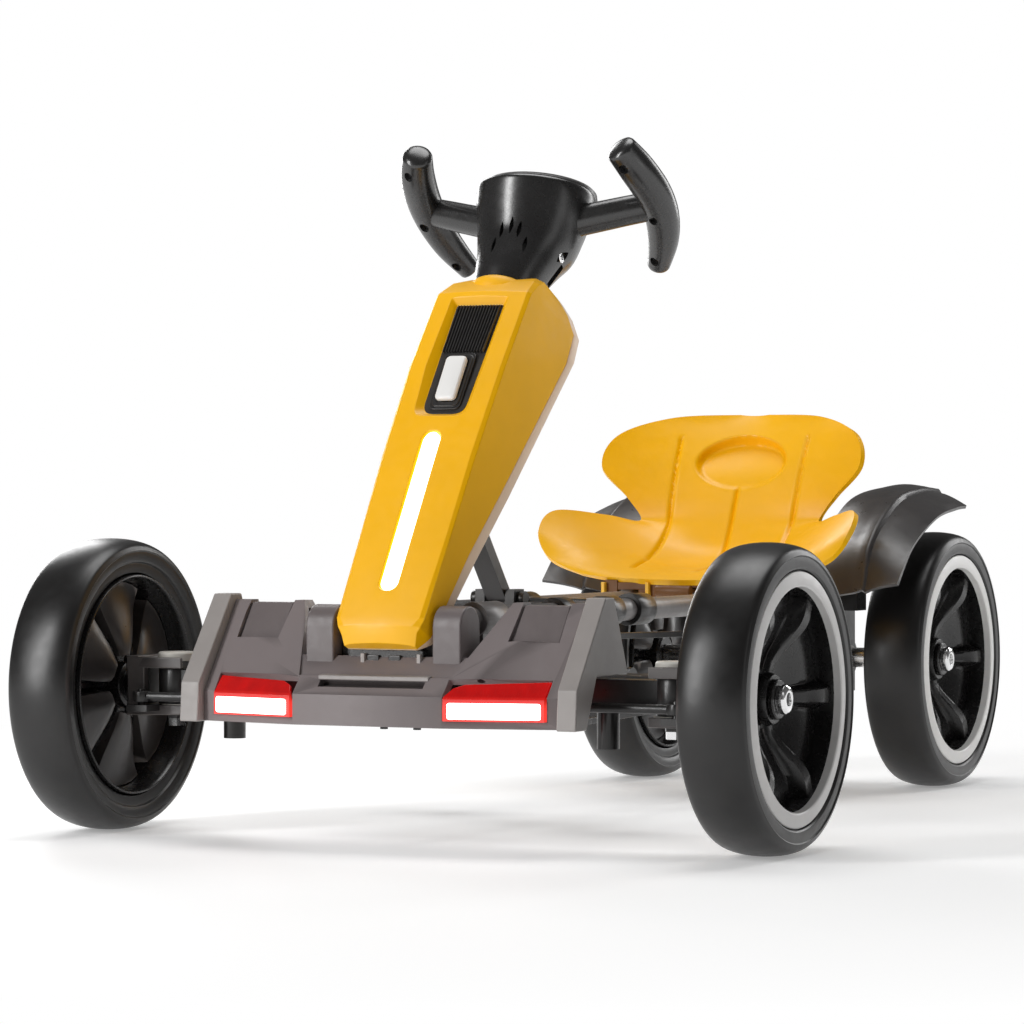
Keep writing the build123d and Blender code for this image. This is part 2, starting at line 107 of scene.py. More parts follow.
def tube(bm, path, radii, sides=32, flat=1.0):
    """A round or flattened bar along a path, with a radius for each point and domed ends."""
    path = [Vector(p) for p in path]
    last = len(path) - 1
    side = Vector((0, 0, 1))
    rings = []
    for i, p in enumerate(path):
        way = (path[min(i + 1, last)] - path[max(i - 1, 0)]).normalized()
        u = (side - way * side.dot(way)).normalized()
        side = u
        v = way.cross(u)
        rings.append((p, u, v, way, radii[i]))
    loops = []

    def ring(p, u, v, r):
        return [p + u * r * math.cos(a) + v * r * flat * math.sin(a)
                for a in (2 * math.pi * k / sides for k in range(sides))]

    dome = [(0.12, 0.35), (0.3, 0.7), (0.6, 0.92)]
    p, u, v, way, r = rings[0]
    loops += [ring(p - way * r * 0.4 * (1 - x), u, v, r * s) for x, s in dome]
    loops += [ring(p, u, v, r) for p, u, v, way, r in rings]
    p, u, v, way, r = rings[-1]
    loops += [ring(p + way * r * 0.4 * (1 - x), u, v, r * s) for x, s in dome[::-1]]
    loft(bm, loops)


def slanted(degrees):
    """A direction in the centre plane, at an angle above the way back."""
    return 0, math.cos(math.radians(degrees)), math.sin(math.radians(degrees))


def prism(bm, outline, low, high, place):
    """An outline of pairs, swept from low to high; place(a, b, c) gives the point."""
    loft(bm, [[place(a, b, c) for a, b in outline] for c in (low, high)])


def along_x(y, z, x):
    return Vector((x, y, z))


def along_z(x, y, z):
    return Vector((x, y, z))


def rectangle(x, y):
    return [(x[0], y[0]), (x[1], y[0]), (x[1], y[1]), (x[0], y[1])]


def block(bm, x, y, z):
    prism(bm, rectangle(x, y), z[0], z[1], along_z)


def span(side, near, far):
    """The stretch of x between two distances from the middle, on one side of it."""
    return sorted((side * near, side * far))


def rounded(corners, radius, steps=5):
    """An outline with its corners rounded; radius is one number or one for each corner."""
    out = []
    n = len(corners)
    for i, c in enumerate(corners):
        r = radius[i] if isinstance(radius, (list, tuple)) else radius
        c = Vector(c)
        a, b = Vector(corners[i - 1]), Vector(corners[(i + 1) % n])
        da, db = (a - c), (b - c)
        r = min(r, da.length / 2.05, db.length / 2.05)
        p, q = c + da.normalized() * r, c + db.normalized() * r
        for k in range(steps + 1):
            t = k / steps
            out.append(tuple((1 - t) ** 2 * p + 2 * t * (1 - t) * c + t * t * q))
    return out


def add(name, data):
    """A new object in the scene."""
    obj = bpy.data.objects.new(name, data)
    bpy.context.scene.collection.objects.link(obj)
    return obj


def as_object(name, bm):
    """Faces turned outwards, and the mesh put into the scene."""
    bmesh.ops.recalc_face_normals(bm, faces=bm.faces)
    mesh = bpy.data.meshes.new(name)
    bm.to_mesh(mesh)
    bm.free()
    return add(name, mesh)


def combined(solid, *others, how="DIFFERENCE"):
    """The solid cut by, or joined with, the others. Closed meshes go in and one comes out."""
    base = as_object("temporary", solid)
    tools = [as_object("temporary", o) for o in others]
    for tool in tools:
        mod = base.modifiers.new("combine", "BOOLEAN")
        mod.operation, mod.solver, mod.object = how, "EXACT", tool
    result = bmesh.new()
    result.from_object(base, bpy.context.evaluated_depsgraph_get())
    for obj in [base, *tools]:
        mesh = obj.data
        bpy.data.objects.remove(obj)
        bpy.data.meshes.remove(mesh)
    return result


def mirror(bm):
    """A copy of the mesh mirrored in the centre plane, added to it."""
    copy = bmesh.ops.duplicate(bm, geom=bm.verts[:] + bm.edges[:] + bm.faces[:])["geom"]
    for v in copy:
        if isinstance(v, bmesh.types.BMVert):
            v.co.x = -v.co.x
    bmesh.ops.reverse_faces(bm, faces=[g for g in copy if isinstance(g, bmesh.types.BMFace)])


def piece(name, bm, material, body, stands_for=(), bevel=0.0, angle=30, thick=0.0, corner=3):
    """Makes the piece from a mesh in millimetres, rounds its edges and puts it on its body."""
    bmesh.ops.scale(bm, vec=(MM, MM, MM), verts=bm.verts)
    bmesh.ops.remove_doubles(bm, verts=bm.verts, dist=WELD)
    obj = as_object(name, bm)
    mesh = obj.data
    mesh.polygons.foreach_set("use_smooth", [True] * len(mesh.polygons))
    mesh.set_sharp_from_angle(angle=math.radians(angle + 8))
    mesh.materials.append(MATERIALS[material][0])
    if thick:
        mod = obj.modifiers.new("thickness", "SOLIDIFY")
        mod.thickness, mod.offset, mod.use_even_offset = abs(thick) * MM, math.copysign(1, thick), True
    if bevel:
        mod = obj.modifiers.new("edges", "BEVEL")
        mod.width, mod.segments, mod.angle_limit = bevel * MM, corner, math.radians(angle)
        mod.limit_method, mod.harden_normals, mod.miter_outer = "ANGLE", True, "MITER_ARC"
    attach(obj, body)
    if stands_for:
        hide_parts(*stands_for)
    return obj


# --- materials ---
def node(tree, kind, **values):
    made = tree.nodes.new(kind)
    for key, value in values.items():
        if hasattr(made, key):
            setattr(made, key, value)
        else:
            made.inputs[key.replace("_", " ")].default_value = value
    return made


def blank(name):
    """A new material, its node tree and its surface node."""
    material = bpy.data.materials.new(name)
    material.use_nodes = True
    return material, material.node_tree, material.node_tree.nodes["Principled BSDF"]


def bumpy(tree, surface, height, strength, distance):
    bump = node(tree, "ShaderNodeBump", Strength=strength, Distance=distance)
    tree.links.new(height, bump.inputs["Height"])
    tree.links.new(bump.outputs["Normal"], surface.inputs["Normal"])


def noise(tree, place, scale, detail):
    made = node(tree, "ShaderNodeTexNoise", Scale=scale, Detail=detail)
    tree.links.new(place, made.inputs["Vector"])
    return made.outputs["Fac"]


def ramp(tree, value, low, high, to_low, to_high):
    made = node(tree, "ShaderNodeMapRange", From_Min=low, From_Max=high, To_Min=to_low, To_Max=to_high)
    tree.links.new(value, made.inputs["Value"])
    return made.outputs["Result"]


def blended(tree, factor, a, b):
    """A colour between a and b, each a colour or another node's output."""
    made = tree.nodes.new("ShaderNodeMix")
    made.data_type = "RGBA"
    tree.links.new(factor, made.inputs["Factor"])
    for socket, colour in (("A", a), ("B", b)):
        target = [i for i in made.inputs if i.name == socket and i.type == "RGBA"][0]
        if isinstance(colour, tuple):
            target.default_value = (*colour, 1)
        else:
            tree.links.new(colour, target)
    return [o for o in made.outputs if o.type == "RGBA"][0]


def finish(name, slot, colour, rough, tone=0.08, grain=0.1, grain_size=0.9, stretch=(1, 1, 1), edge_colour=None,
           edge_wear_and_highlight=0.0, dust=0.0, spread=0.07, painted_shade_left=False, **shader):
    """A moulded, painted or metal surface. Convex edges turn towards an edge colour, partly as wear and
    partly as a painted highlight; faces that look to the kart's left can be given little reflection, a
    painted shade on that side.
    """
    material, tree, surface = blank(name)
    for key, value in shader.items():
        surface.inputs[key.replace("_", " ")].default_value = value
    place = node(tree, "ShaderNodeTexCoord").outputs["Object"]
    mapping = node(tree, "ShaderNodeMapping", Scale=stretch)
    tree.links.new(place, mapping.inputs["Vector"])
    even = mapping.outputs["Vector"]
    dark = tuple(c * (1 - tone) for c in colour)
    light = tuple(min(1.0, c * (1 + tone)) for c in colour)
    shade = blended(tree, ramp(tree, noise(tree, place, 22, 4), 0.3, 0.7, 0, 1), dark, light)
    # convex edges turn towards the edge colour: partly wear, partly a painted highlight of lit edges
    if edge_wear_and_highlight:
        points = node(tree, "ShaderNodeNewGeometry").outputs["Pointiness"]
        edge = ramp(tree, points, 0.515, 0.6, 0, edge_wear_and_highlight)
        shade = blended(tree, edge, shade, edge_colour or tuple(min(1, c * 2.2 + 0.03) for c in colour))
    if dust:
        up = node(tree, "ShaderNodeSeparateXYZ")
        tree.links.new(place, up.inputs["Vector"])
        low = ramp(tree, up.outputs["Z"], 0.0, 0.16, dust, 0)
        patch = node(tree, "ShaderNodeMath", operation="MULTIPLY")
        tree.links.new(low, patch.inputs[0])
        tree.links.new(ramp(tree, noise(tree, place, 60, 5), 0.4, 0.65, 0, 1), patch.inputs[1])
        shade = blended(tree, patch.outputs[0], shade, (0.16, 0.14, 0.12))
    tree.links.new(shade, surface.inputs["Base Color"])
    # painted shade: faces that look to the kart's left keep little reflection, so that side stays dark
    if painted_shade_left:
        facing = node(tree, "ShaderNodeSeparateXYZ")
        tree.links.new(node(tree, "ShaderNodeNewGeometry").outputs["Normal"], facing.inputs["Vector"])
        shine = ramp(tree, facing.outputs["X"], 0.35, 0.75, 0.5, 0.04)
        tree.links.new(shine, surface.inputs["Specular IOR Level"])
    gloss = ramp(tree, noise(tree, even, 130, 4), 0.25, 0.75, rough - spread, rough + spread)
    tree.links.new(gloss, surface.inputs["Roughness"])
    bumpy(tree, surface, noise(tree, even, 1 / (grain_size * MM), 2), grain, 0.0004)
    return material, slot


def glow(name, slot, colour, lit, strength, patchy=0.25, core=None):
    """A lit lens with fine moulded ribs; its core, if any, is a paler glow that fades out above the bar."""
    material, tree, surface = blank(name)
    surface.inputs["Roughness"].default_value = 0.12
    surface.inputs["Coat Weight"].default_value = 0.6
    surface.inputs["Emission Strength"].default_value = strength
    place = node(tree, "ShaderNodeTexCoord").outputs["Object"]
    uneven = ramp(tree, noise(tree, place, 70, 2), 0.3, 0.7, 0, patchy)
    base = blended(tree, uneven, colour, tuple(c * 0.6 for c in colour))
    tree.links.new(base, surface.inputs["Base Color"])
    shone = blended(tree, uneven, lit, colour)
    if core:
        height = node(tree, "ShaderNodeSeparateXYZ")
        tree.links.new(place, height.inputs["Vector"])
        shone = blended(tree, ramp(tree, height.outputs["Z"], 0.108, 0.117, 1, 0), shone, core)
    tree.links.new(shone, surface.inputs["Emission Color"])
    ribs = node(tree, "ShaderNodeTexWave", Scale=160.0)
    tree.links.new(place, ribs.inputs["Vector"])
    bumpy(tree, surface, ribs.outputs["Fac"], 0.25, 0.0005)
    return material, slot


YELLOW = (0.93, 0.47, 0.0)
MATERIALS = {
    # yellow: the pale edge colour is partly wear and partly a painted highlight; faces towards the kart's
    # left get painted shade
    "yellow": finish("yellow_plastic", "yellow_plastic", YELLOW, 0.4, tone=0.035, grain=0.05, edge_wear_and_highlight=0.25,
                     edge_colour=(1.0, 0.66, 0.14), painted_shade_left=True),
    # yellow darkened as it looks in shadow: painted shade for the recess under the seat's front lip
    "yellow painted shade": finish("yellow_painted_shade_plastic", "yellow_plastic", (0.15, 0.05, 0.0), 0.5, tone=0.05, grain=0.06),
    "pale": finish("pale_plastic", "pale_plastic", (0.86, 0.62, 0.42), 0.42, tone=0.05, grain=0.06),
    "grey": finish("grey_plastic", "grey_plastic", (0.105, 0.088, 0.088), 0.42, tone=0.1, grain=0.16,
                   edge_wear_and_highlight=0.5, dust=0.15),
    # a lighter grey: on the bumper's ribs and ledge strip it is a painted highlight of their lit faces
    "light grey highlight": finish("light_grey_highlight_plastic", "grey_plastic", (0.25, 0.23, 0.22), 0.42, tone=0.08,
                         grain=0.12, edge_wear_and_highlight=0.3),
    "fender": finish("fender_plastic", "black_plastic", (0.045, 0.042, 0.042), 0.33, tone=0.12, grain=0.08,
                     edge_wear_and_highlight=0.3),
    "knuckle": finish("knuckle_steel", "black_steel", (0.03, 0.026, 0.026), 0.36, tone=0.15, grain=0.1,
                      edge_wear_and_highlight=0.5, edge_colour=(0.2, 0.18, 0.17)),
    "black": finish("black_plastic", "black_plastic", (0.01, 0.009, 0.009), 0.26, tone=0.2, grain=0.1,
                    edge_wear_and_highlight=0.35),
    "satin": finish("satin_black_plastic", "black_plastic", (0.012, 0.0115, 0.0115), 0.27, tone=0.12,
                    grain=0.03, spread=0.03, edge_wear_and_highlight=0.2, Specular_IOR_Level=0.9),
    "light satin": finish("light_satin_plastic", "black_plastic", (0.06, 0.058, 0.058), 0.34, tone=0.12,
                          grain=0.08),
    "rubber": finish("soft_rubber", "black_rubber", (0.014, 0.013, 0.013), 0.36, tone=0.15, grain=0.1,
                     edge_wear_and_highlight=0.8),
    "tyre": finish("tyre_rubber", "tyre_rubber", (0.009, 0.0085, 0.0085), 0.34, tone=0.15, grain=0.05,
                   grain_size=0.7, dust=0.03, edge_wear_and_highlight=0.15, spread=0.04),
    "rim": finish("rim_plastic", "rim_plastic", (0.006, 0.0055, 0.0055), 0.27, tone=0.12, grain=0.03,
                  edge_wear_and_highlight=0.0, spread=0.03),
    # the petals' pale edge colour is a painted highlight along their lit rims
    "petal": finish("petal_plastic", "rim_plastic", (0.022, 0.019, 0.019), 0.34, tone=0.1, grain=0.03,
                    edge_wear_and_highlight=0.8, edge_colour=(0.35, 0.32, 0.3)),
    "silver": finish("silver_plastic", "pale_plastic", (0.6, 0.59, 0.58), 0.35, tone=0.05, grain=0.05,
                     edge_wear_and_highlight=0.2),
    "white": finish("white_plastic", "white_plastic", (0.82, 0.81, 0.79), 0.35, tone=0.03, grain=0.04),
    "orange": finish("orange_plastic", "orange_plastic", (0.85, 0.3, 0.03), 0.35, tone=0.05, grain=0.05),
    "steel": finish("bright_steel", "bright_steel", (0.62, 0.61, 0.6), 0.27, tone=0.1, grain=0.08,
                    grain_size=0.5, stretch=(1, 6, 6), Metallic=1.0),
    "chrome": finish("chrome", "chrome", (0.8, 0.8, 0.8), 0.14, tone=0.05, grain=0.03, spread=0.04,
                     Metallic=1.0),
    "black steel": finish("black_steel", "black_steel", (0.009, 0.0085, 0.0085), 0.33, tone=0.2,
                          grain=0.18, grain_size=1.6, edge_wear_and_highlight=0.08, edge_colour=(0.2, 0.19, 0.18)),
    "frame": finish("frame_paint", "black_steel", (0.15, 0.142, 0.14), 0.4, tone=0.12, grain=0.15,
                    grain_size=1.6, edge_wear_and_highlight=0.45, Metallic=0.25),
    "nylon": finish("nylon", "nylon", (0.5, 0.48, 0.44), 0.5, tone=0.06, grain=0.1),
    "pedal": finish("pedal_plastic", "pedal_plastic", (0.03, 0.03, 0.03), 0.5, tone=0.2, grain=0.25,
                    edge_wear_and_highlight=0.4),
    "red": glow("red_lens", "red_lens", (0.25, 0.0, 0.0), (0.5, 0.0, 0.0), 0.7, patchy=0.5,
                core=(1.5, 0.07, 0.05)),
    "hot": glow("lit_red", "lit_red", (1.0, 0.5, 0.45), (1.0, 0.82, 0.78), 5.0, patchy=0.15),
    "lit": glow("lit_white", "lit_white", (1.0, 1.0, 1.0), (1.0, 0.99, 0.97), 2.6, patchy=0.05),
}


# --- wheels: drawn about X at the wheel's middle, outer side towards +X ---
WHEEL_R = 115.0
SHOULDER = (26.4, 106.6)   # half width of the tyre's crown, and the radius it starts from
BEAD_R = 87.0
RING_R = (82.7, 94.2)      # pale ring: inner and outer radius
HUB_R = 18.0
RIBS = 6
RIB_TURN = 2 * math.pi / RIBS


def wheel_place(node_name, side):
    low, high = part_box(node_name)
    middle = (low + high) / 2 / MM
    return lambda bm: bmesh.ops.transform(bm, verts=bm.verts, matrix=Matrix.Translation(middle)
                                          @ Matrix.Diagonal((side, 1, 1, 1)))


def tyre_profile():
    """(along, radius) from the inner bead over the crown to the outer bead."""
    inner = [(-19.5, 87.4), (-21.6, 88.0), (-22.4, 91), (-22.6, 95.6), (-24.6, 96.6), (-26.0, 99.5),
             (-26.1, 104.6), (-27.1, 105.4)]
    outer = [(27.1, 105.4), (26.1, 104.7), (26.5, 100.5), (26.2, 96.6), (25.0, 95.3), (23.2, 94.9),
             (22.5, 91), (21.6, 88.0), (19.5, 87.4)]
    along, base = SHOULDER
    crown = []
    for k in range(25):
        a = math.radians(-86 + 172 * k / 24)
        crown.append((along * math.sin(a), base + (WHEEL_R - base) * math.cos(a) ** 0.85))
    return inner + crown + outer


def dish(r):
    """How far outwards the wheel's web stands at a radius."""
    return -7 + 13 * smooth((r - 26) / 46)


def rim_web(bm):
    """Web of the wheel: six hollow ribs rise out of it towards the rim."""
    rows, turns = 26, 252
    grid = []
    for i in range(rows + 1):
        r = HUB_R - 1 + (BEAD_R - 4.5 - HUB_R + 1) * i / rows
        ring = []
        for j in range(turns):
            a = 2 * math.pi * j / turns
            nearest = round(a / RIB_TURN) * RIB_TURN
            off = abs(a - nearest) * r
            half = 4.5 + 5.5 * smooth((r - 22) / 55)
            rise = (5 + 7 * smooth((r - 24) / 40)) * smooth((half + 1.2 - off) / (half * 0.62))
            ring.append((dish(r) + rise, r * math.cos(a), r * math.sin(a)))
        grid.append(ring)
    loft(bm, grid, caps=False)


def petals(bm):
    """Raised pads on the inner side of the web, one between each two ribs."""
    for k in range(RIBS):
        middle = (k + 0.5) * RIB_TURN
        rows = []
        for i in range(15):
            r = 23 + 57.5 * i / 14
            half = RIB_TURN / 2 - (4.8 + 4 * smooth((r - 22) / 55)) / r
            row = []
            for u in (-1.06, -1, -0.9, -0.6, -0.3, 0, 0.3, 0.6, 0.9, 1, 1.06):
                along = dish(r) + 1 if abs(u) > 1 else -15 + 7.5 * smooth((r - 26) / 50) + 2.5 * u ** 4
                a = middle + half * max(min(u, 1.03), -1.03)
                row.append(Vector((along, r * math.cos(a), r * math.sin(a))))
            rows.append(row)
        loft(bm, rows, around=False, caps=False)


def wheels():
    rings = {"front": "silver", "rear": "white"}
    for name, side in SIDES:
        for end in ("front", "rear"):
            rim_node = f"{end}_rim_{name}"
            place = wheel_place(rim_node, side)
            body = f"front_wheel_{name}" if end == "front" else "rear_wheels"

            bm = bmesh.new()
            lathe(bm, tyre_profile(), steps=160)
            place(bm)
            tyre_node = f"front_tyre_{name}" if end == "front" else "rear_tyres"
            piece(f"{end}_tyre_{name}_skin", bm, "tyre", body, [tyre_node], bevel=0.35, angle=32, corner=2)

            bm = bmesh.new()
            low, high = RING_R
            lathe(bm, [(21.5, high - 0.8), (24.2, high), (25.2, high - 0.6), (26.2, 88.4), (26.3, low + 1),
                       (25.6, low), (19, low - 0.5), (19, low + 1)], steps=160)
            place(bm)
            piece(f"{end}_rim_band_{name}", bm, rings[end], body, bevel=0.3, corner=2)

            bm = bmesh.new()
            lathe(bm, [(-22.3, BEAD_R - 0.2), (22.3, BEAD_R - 0.2), (22.3, 82.6), (14, 81.4), (0, 80.8),
                       (-14, 81.6), (-21, 83.4), (-24.2, 84.2), (-25.2, 85.1), (-24.6, 86.2)], steps=160)
            lathe(bm, [(-20, 6.3), (-20, HUB_R - 2), (-18, HUB_R), (-4, HUB_R), (0, HUB_R + 2),
                       (3.5, HUB_R + 1.2), (6, HUB_R), (6, 6.3)], steps=64)
            place(bm)
            piece(f"{rim_node}_barrel", bm, "rim", body, [rim_node], bevel=0.4, corner=2)

            bm = bmesh.new()
            rim_web(bm)
            place(bm)
            piece(f"{rim_node}_web", bm, "rim", body, [rim_node], thick=-2.0)

            bm = bmesh.new()
            petals(bm)
            place(bm)
            piece(f"{rim_node}_petals", bm, "petal", body, [rim_node], thick=-2.0, bevel=0.5, angle=35)

            bm = bmesh.new()
            lathe(bm, [(6.4, 6.2), (6.4, 15), (9.2, 15), (10.2, 14), (10.2, 6.2)], steps=64)
            place(bm)
            nuts = f"front_hub_nut_{name}" if end == "front" else "rear_hub_nuts"
            piece(f"{end}_hub_washer_{name}", bm, "black", body, [nuts], bevel=0.3)

            bm = bmesh.new()
            hexagon = [(12.2 * math.cos(math.radians(60 * k)), 12.2 * math.sin(math.radians(60 * k)))
                       for k in range(6)]
            prism(bm, rounded(hexagon, 3.5), 10.3, 13.6, along_x)
            lathe(bm, [(13.2, 11.4), (15.4, 10.9), (16.8, 9.4), (17.3, 7.2), (17.2, 4.9), (13.6, 4.5),
                       (13.4, 3.2)], steps=48)
            lathe(bm, [(13.2, 0), (13.9, 0.01), (13.9, 3.4), (13.2, 3.4)], steps=24)
            place(bm)
            piece(f"{end}_hub_nut_{name}", bm, "chrome", body, [nuts], bevel=0.4)


# --- plain materials for the CAD nodes that keep their own shape ---
FINISHES = {
    "steel": ["steering_shaft", "crank_axle", "rear_axle", "crank_sprocket", "axle_sprocket"],
    "black steel": ["front_beam", "frame_bolts", "knuckle_left", "knuckle_right", "pitman_arm",
                    "tie_rod_left", "tie_rod_right", "rear_bar", "axle_carriers", "crank_hangers",
                    "crank_arms", "drive_chain", "mid_cross_piece"],
    # the seat lever takes the painted shade of the recess under the seat's lip
    "yellow painted shade": ["seat_lever"],
    "frame": ["frame_tube_left", "frame_tube_right", "front_cross_piece", "seat_slide"],
    "nylon": ["axle_bushes", "neck_bush"],
    "pedal": ["pedal_left", "pedal_right"],
    "black": ["column_base"],
    "yellow": ["column_front_cover", "seat_shell", "seat_base"],
    "pale": ["column_rear_cover"],
    "satin": ["steering_module", "module_cap", "grips", "grip_spokes"],
    "orange": ["grip_button_left", "grip_button_right"],
    "white": ["power_button"],
    "lit": ["column_light"],
    "rubber": ["vent_panel", "column_strut", "strut_rail"],
    "grey": ["bumper_tray", "fenders", "column_ears", "foot_pads"],
    # the bumper's ribs are lighter than the tray: painted highlight
    "light grey highlight": ["bumper_ribs"],
    "red": ["lamp_lenses"],
    "hot": ["lamp_bars"],
}


def dress_nodes():
    for material, names in FINISHES.items():
        for name in names:
            mesh = NODES[name].data
            mesh.materials.clear()
            mesh.materials.append(MATERIALS[material][0])
    for obj in NODES.values():
        weld = obj.modifiers.new("seams", "WELD")
        weld.merge_threshold = WELD
        edges = obj.modifiers.new("edges", "BEVEL")
        edges.width, edges.segments, edges.angle_limit = 0.0006, 2, math.radians(40)
        edges.limit_method, edges.harden_normals = "ANGLE", True


# --- column: s runs up its front face from the foot, d goes back from the face ---
COLUMN_TILT = math.radians(55.1)
COLUMN_FOOT = (-440.7, 175.7)  # y and z where s and d are 0
# s of front and side, front (half width, d), side (half width, d), s and (half width, d) of back
COLUMN_RINGS = [
    (-22, (25, 8), (30, 10.5), -21, (29, 17)),
    (-14, (25, 0.5), (32, 3), -14, (36, 21)),
    (-11, (29, -1), (34.5, 1), -10, (38, 22.5)),
    (-4, (33.5, -2.2), (37, -0.2), -3, (39, 24)),
    (70, (36, -4.6), (38.5, -2.4), 70, (43, 36)),
    (140, (37, -7.4), (40, -4.8), 140, (46.5, 50)),
    (225, (38.5, -7), (41.5, -4.5), 292, (49.5, 82)),
    (300, (38.5, -1.5), (41, 1.5), 319, (44.5, 88)),
    (318, (35, 9), (39, 13), 330, (40, 77)),
    (331, (29, 22), (34, 27), 337, (34, 64)),
]
FACE_BULGE = 2.2           # how far the middle of the front face stands out
REAR_LIP = 10.0            # depth of the rear cover's sides
REAR_LIP_SHARE = 0.28      # the most that they take of the whole side
LIGHT_S = (19, 161)
LIGHT_HALF = 7.2
PANEL = [(-20.5, 290), (20.5, 290), (18.2, 181), (-18.2, 181)]
PANEL_CORNERS = [2, 2, 10, 10]
PANEL_RIBS = 15
BUTTON_S = (192, 233)
BUTTON_HALF = 8.6
BUTTON_LOWEST = 217        # s where the button's hollow top is deepest


def column_place(x, s, d):
    c, n = math.cos(COLUMN_TILT), math.sin(COLUMN_TILT)
    return Vector((x, COLUMN_FOOT[0] + s * c + d * n, COLUMN_FOOT[1] + s * n - d * c))


def face_depth(s):
    """Depth of the middle of the front face at height s."""
    rows = [(r[0], r[1][1]) for r in COLUMN_RINGS]
    for (a, da), (b, db) in zip(rows, rows[1:]):
        if s <= b:
            return da + (db - da) * (s - a) / (b - a) - FACE_BULGE
    return rows[-1][1]


def on_face(outline, depth):
    """An outline in x and s laid along the column's face, the given depth under it."""
    return [column_place(x, s, face_depth(s) + depth) for x, s in outline]


def seam(row):
    """Where along a ring's side the two covers meet, from 0 at the front to 1 at the back."""
    _, _, (_, dw), _, (_, db) = row
    return 1 - min(REAR_LIP, REAR_LIP_SHARE * (db - dw)) / (db - dw)


def side_point(row, reach, inset=0.0):
    """A point on the side of a ring, reach 0 at the front and 1 at the back, as (x, s, d)."""
    s, _, (w, dw), sb, (b, db) = row
    return w + (b - w) * reach - inset, s + (sb - s) * reach, dw + (db - dw) * reach


def both_sides(points):
    return [column_place(*p) for p in points] + [column_place(-x, s, d) for x, s, d in points[::-1]]


def front_ring(row):
    """A closed ring of the front cover: across the face and back along the sides to the seam."""
    s, (f, df) = row[:2]
    face = [column_place(f * u, s, df - FACE_BULGE * (1 - u * u)) for u in (-1, -0.5, 0, 0.5, 1)]
    return face + both_sides([side_point(row, 0), side_point(row, seam(row))])


def rear_ring(row):
    """A closed ring of the rear cover, from the seam round the back."""
    near = seam(row) + 0.01
    stations = ((near, 0.5), (near + (1 - near) * 0.35, 0), (1, 0.2), (1.01, 3.5))
    return both_sides([side_point(row, reach, inset) for reach, inset in stations])


def stadium(half, low, high, steps=12):
    """Round-ended slot outline in x and s."""
    top = [(half * math.cos(a), high - half + half * math.sin(a)) for a in
           (math.pi * k / steps for k in range(steps + 1))]
    return top + [(-x, low + high - s) for x, s in top]


def recess(bm, outline, grow, depth, lift=6):
    """A cutter that narrows from the face down to the outline, its floor the given depth under the face."""
    middle = sum(s for _, s in outline) / len(outline)
    rings = []
    for k, out in ((-lift, grow * (1 + lift / depth)), (depth, 0)):
        ring = []
        for x, s in outline:
            t = s + math.copysign(out, s - middle)
            ring.append(column_place(x + math.copysign(out, x), t, face_depth(s) + k))
        rings.append(ring)
    loft(bm, rings)


